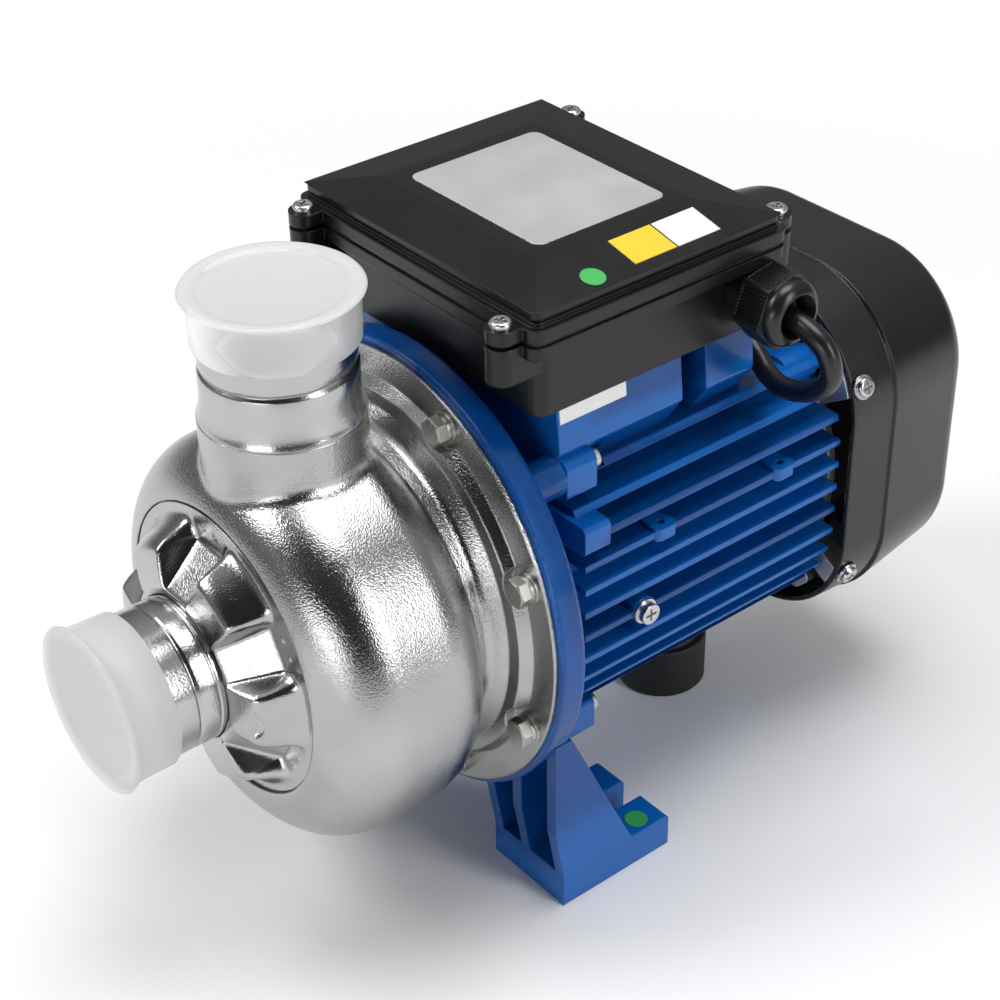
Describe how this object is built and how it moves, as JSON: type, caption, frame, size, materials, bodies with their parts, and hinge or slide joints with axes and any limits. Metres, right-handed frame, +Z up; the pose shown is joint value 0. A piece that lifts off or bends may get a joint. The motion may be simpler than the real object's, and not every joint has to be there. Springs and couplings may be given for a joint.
{
  "type": "centrifugal pump",
  "caption": "Close-coupled centrifugal water pump: pressed stainless casing with suction and discharge nozzles, blue finned motor, black terminal box and fan cover",
  "frame": {"origin": "on the floor under the shaft axis, at the plane where the casing flange meets the blue adapter", "axes": "+Z up, -Y the way the suction nozzle faces, +Y towards the fan, +X the side of the cable gland"},
  "size_m": [0.3815, 0.4081, 0.2591],
  "materials": {
    "stainless_sheet": "pressed stainless sheet, satin",
    "stainless_turned": "turned stainless",
    "cap_plastic": "thin milky moulded caps",
    "zinc_steel": "yellow and clear zinc",
    "blue_paint": "gloss blue paint on cast aluminium",
    "black_rubber": "moulded rubber",
    "core_steel": "stacked laminations",
    "cast_aluminium": "bare die casting",
    "copper_winding": "varnished copper wire",
    "bearing_steel": "ground bearing steel",
    "seal_ceramic": "white ceramic ring",
    "seal_graphite": "carbon face",
    "fan_plastic": "moulded plastic",
    "cover_black": "black semi gloss",
    "clear_zinc": "clear zinc",
    "box_black": "black moulded plastic",
    "capacitor_white": "white can",
    "gland_plastic": "polyamide",
    "cable_rubber": "rubber sheathed cable",
    "rating_silver": "bare silver foil",
    "label_yellow": "plain yellow foil",
    "label_white": "plain white foil",
    "dot_green": "green ink dot"
  },
  "bodies": {
    "pump": {"pump_casing": "stainless_sheet", "suction_plate": "stainless_sheet", "suction_nozzle": "stainless_turned", "discharge_nozzle": "stainless_turned", "casing_flat_washers": "zinc_steel", "casing_spring_washers": "zinc_steel", "casing_bolts": "zinc_steel", "adapter_bracket": "blue_paint", "motor_frame": "blue_paint", "frame_screws": "zinc_steel", "rubber_foot": "black_rubber", "foot_bolt": "zinc_steel", "stator_core": "core_steel", "winding_front": "copper_winding", "winding_rear": "copper_winding", "front_bearing_outer_ring": "bearing_steel", "rear_bearing_outer_ring": "bearing_steel", "wave_washer": "bearing_steel", "seal_plate": "stainless_sheet", "casing_o_ring": "black_rubber", "seal_seat": "seal_ceramic", "rear_shield": "cast_aluminium", "shield_screws": "zinc_steel", "fan_cover": "cover_black", "cover_screws": "clear_zinc", "terminal_box": "box_black", "terminal_lid": "box_black", "lid_gasket": "black_rubber", "lid_screws": "clear_zinc", "capacitor": "capacitor_white", "terminal_block": "fan_plastic", "gland_body": "gland_plastic", "gland_seal": "black_rubber", "gland_nut": "gland_plastic", "power_cable": "cable_rubber", "cable_tail": "cable_rubber", "cable_coil": "cable_rubber", "power_plug": "cable_rubber", "plug_pins": "zinc_steel", "earth_screw": "clear_zinc", "rating_plate": "rating_silver", "yellow_label": "label_yellow", "white_label": "label_white", "serial_label": "label_white", "green_dots": "dot_green"},
    "rotor": {"motor_shaft": "stainless_turned", "rotor_core": "core_steel", "rotor_end_rings": "cast_aluminium", "cooling_fan": "fan_plastic", "fan_clip": "zinc_steel", "impeller": "stainless_sheet", "impeller_nut": "stainless_turned", "impeller_key": "stainless_turned", "seal_head": "seal_graphite", "seal_spring": "stainless_turned", "front_bearing_inner_ring": "bearing_steel", "rear_bearing_inner_ring": "bearing_steel", "bearing_balls": "bearing_steel"},
    "suction_cap_body": {"suction_cap": "cap_plastic"},
    "discharge_cap_body": {"discharge_cap": "cap_plastic"}
  },
  "joints": [
    {"name": "shaft_spin", "type": "hinge", "parent": "pump", "child": "rotor", "pos_m": [0, 0, 0.123], "axis": [0, 1, 0], "continuous": true},
    {"name": "suction_cap_pull", "type": "slide", "parent": "pump", "child": "suction_cap_body", "axis": [0, -1, 0], "range_m": [0, 0.15]},
    {"name": "discharge_cap_pull", "type": "slide", "parent": "pump", "child": "discharge_cap_body", "axis": [0, 0, 1], "range_m": [0, 0.15]}
  ]
}
